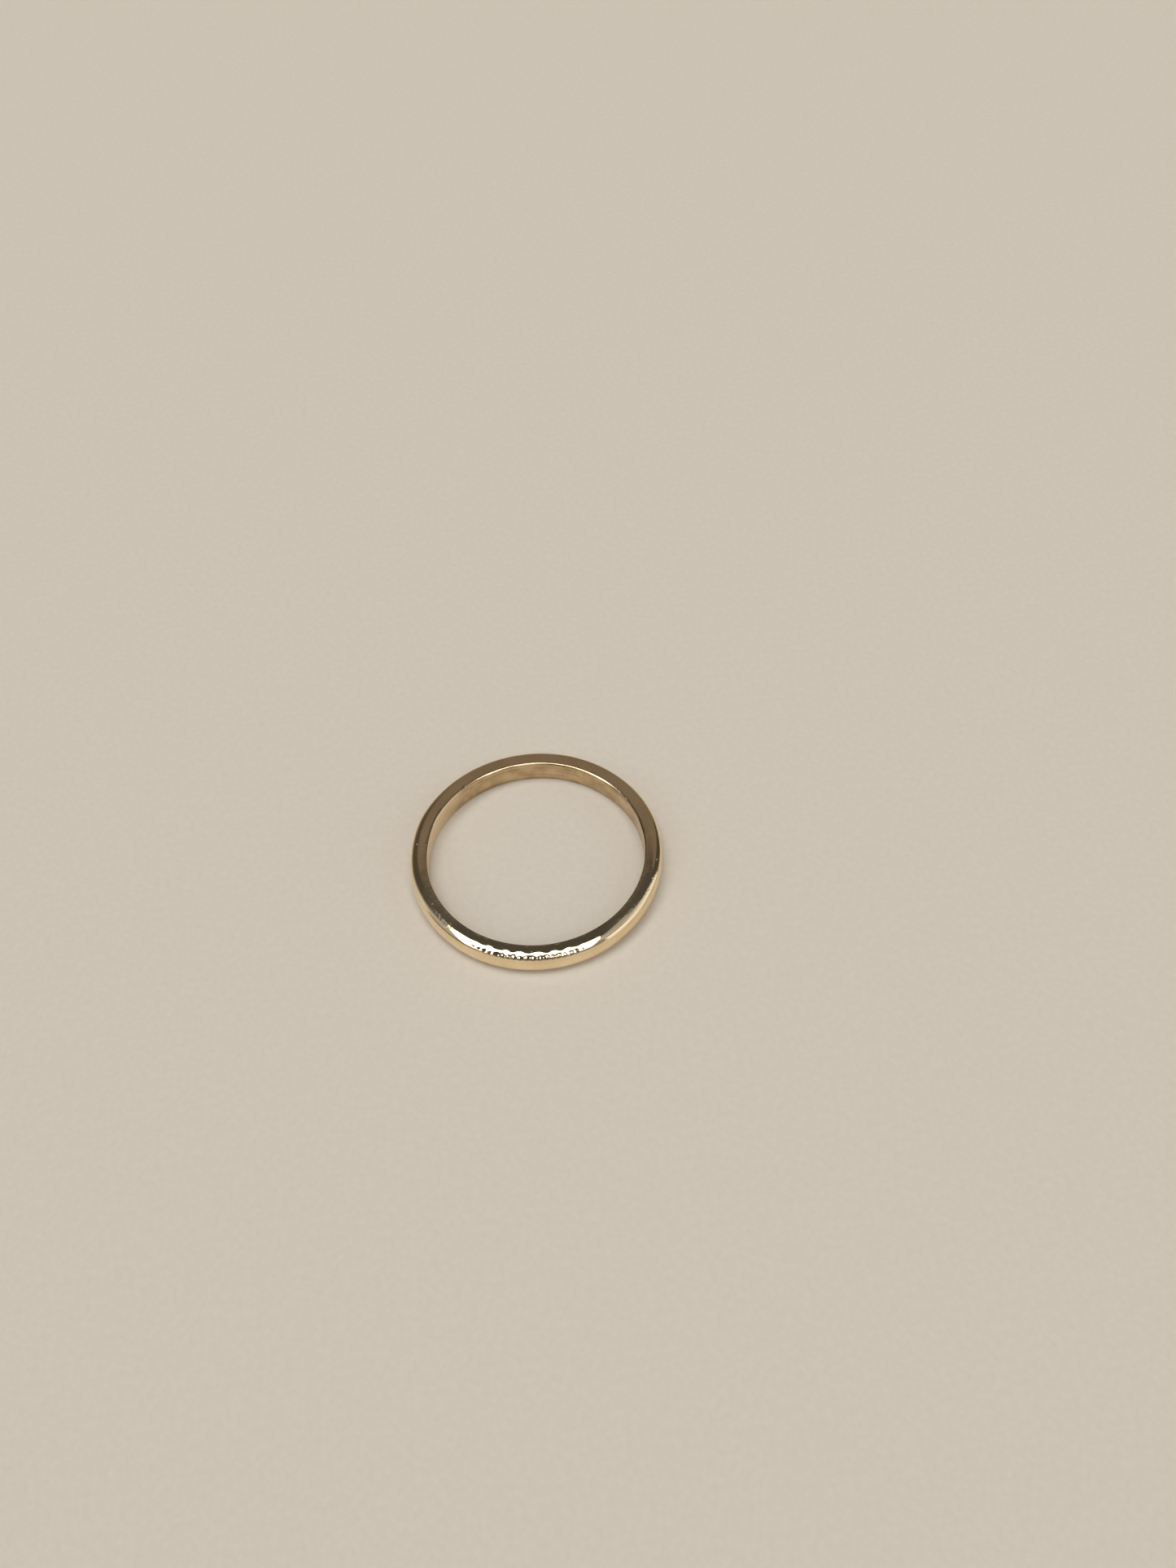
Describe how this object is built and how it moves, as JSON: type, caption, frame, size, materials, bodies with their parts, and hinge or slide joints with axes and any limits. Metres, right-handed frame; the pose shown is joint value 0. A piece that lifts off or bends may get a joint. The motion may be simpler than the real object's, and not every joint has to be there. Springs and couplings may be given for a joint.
{
  "type": "wedding band",
  "caption": "Plain polished yellow-gold finger ring, flat inside and softly domed outside, bent from wire and closed by a soldered joint.",
  "frame": {"origin": "centre of the finger hole at half the band's width", "axes": "+Z along the finger hole's axis, so the band lies flat; +X to the right and +Y away from a viewer in front; the soldered joint is at 211 degrees from +X towards +Y"},
  "size_m": [0.019, 0.019, 0.002],
  "materials": {
    "gold": null,
    "solder": null
  },
  "bodies": {
    "root": {"shank": "gold", "solder_seam": "solder"}
  },
  "joints": []
}
